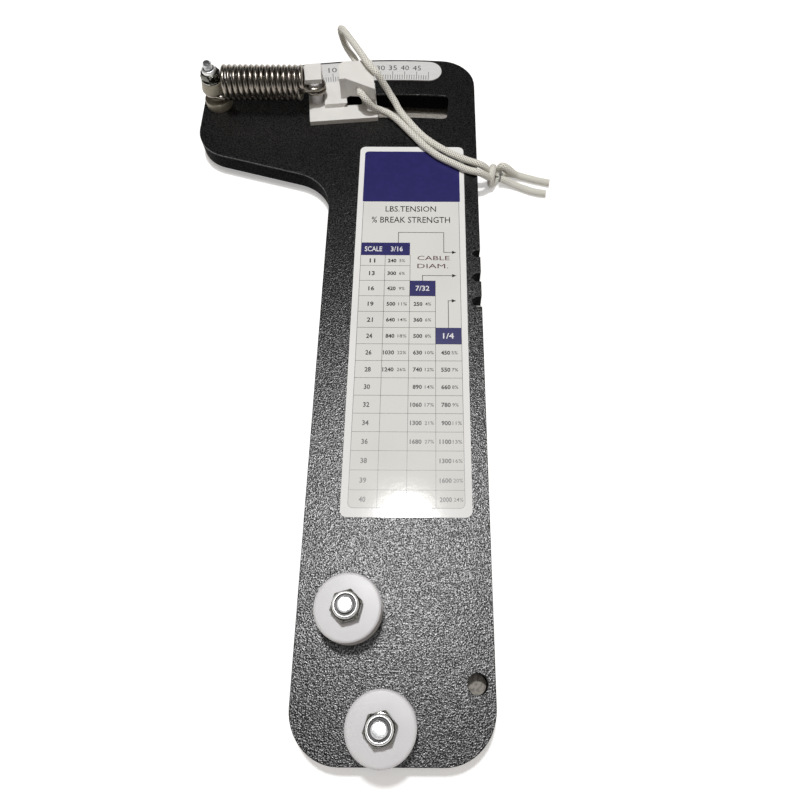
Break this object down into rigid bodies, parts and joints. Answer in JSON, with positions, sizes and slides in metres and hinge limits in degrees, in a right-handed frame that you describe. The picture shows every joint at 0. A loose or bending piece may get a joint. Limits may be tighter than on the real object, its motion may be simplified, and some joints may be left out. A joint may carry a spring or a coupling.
{
  "type": "rigging tension gauge",
  "caption": "Flat L-shaped gauge with grooved cable rollers, a sprung slider on an arced slot beside a scale strip, edge notches, a table label and a lanyard, for reading cable tension.",
  "frame": {"origin": "centre of the bounding box's bottom face, measured without the lanyard: under the middle of the plate, at the level of the bolt heads and keeper that it lies on", "axes": "+Z out of the plate's face, +Y along the stem towards the scale, +X towards the notched edge"},
  "size_m": [0.1962, 0.3821, 0.0408],
  "materials": {
    "plate_coat": "textured black powder coat with a fine bright fleck",
    "label_film": "printed white label film",
    "strip_metal": "satin silver strip with black marks",
    "nylon": "white moulded nylon",
    "turned_nylon": "white turned nylon, slightly translucent",
    "zinc_steel": "zinc plated steel",
    "spring_steel": "dark bright spring wire",
    "sleeve_steel": "grey turned steel",
    "lock_ring": "white nylon locking ring",
    "braid": "white braided cord"
  },
  "bodies": {
    "frame": {"frame_plate": "plate_coat", "data_label": "label_film", "scale_strip": "strip_metal", "upper_bolt": "zinc_steel", "upper_washer": "zinc_steel", "upper_bush": "sleeve_steel", "upper_nut": "zinc_steel", "upper_nut_ring": "lock_ring", "lower_bolt": "zinc_steel", "lower_washer": "zinc_steel", "lower_bush": "sleeve_steel", "lower_nut": "zinc_steel", "lower_nut_ring": "lock_ring", "post_bolt": "zinc_steel", "post_washer": "zinc_steel", "post_sleeve": "sleeve_steel", "top_washer": "zinc_steel", "post_nut": "zinc_steel", "post_nut_ring": "lock_ring", "tension_spring": "spring_steel"},
    "slider": {"slider_body": "nylon", "spring_pin": "zinc_steel", "pin_bush": "nylon", "slider_keeper": "nylon", "left_screw": "zinc_steel", "right_screw": "zinc_steel", "lanyard_back": "braid", "lanyard_front": "braid", "lanyard_knot": "braid", "upper_tail": "braid", "lower_tail": "braid"},
    "upper_roller": {"upper_roller": "turned_nylon"},
    "lower_roller": {"lower_roller": "turned_nylon"}
  },
  "joints": [
    {"name": "slider_swing", "type": "hinge", "parent": "frame", "child": "slider", "pos_m": [0.03405, -0.17075, 0.0135], "axis": [0, 0, 1], "range_deg": [-7.1, 0], "stiffness_Nm_per_rad": 8, "deforming": ["tension_spring"]},
    {"name": "upper_roller_spin", "type": "hinge", "parent": "frame", "child": "upper_roller", "pos_m": [0.02005, -0.12925, 0.0213], "axis": [0, 0, 1], "continuous": true},
    {"name": "lower_roller_spin", "type": "hinge", "parent": "frame", "child": "lower_roller", "pos_m": [0.03405, -0.17075, 0.0213], "axis": [0, 0, 1], "continuous": true}
  ]
}
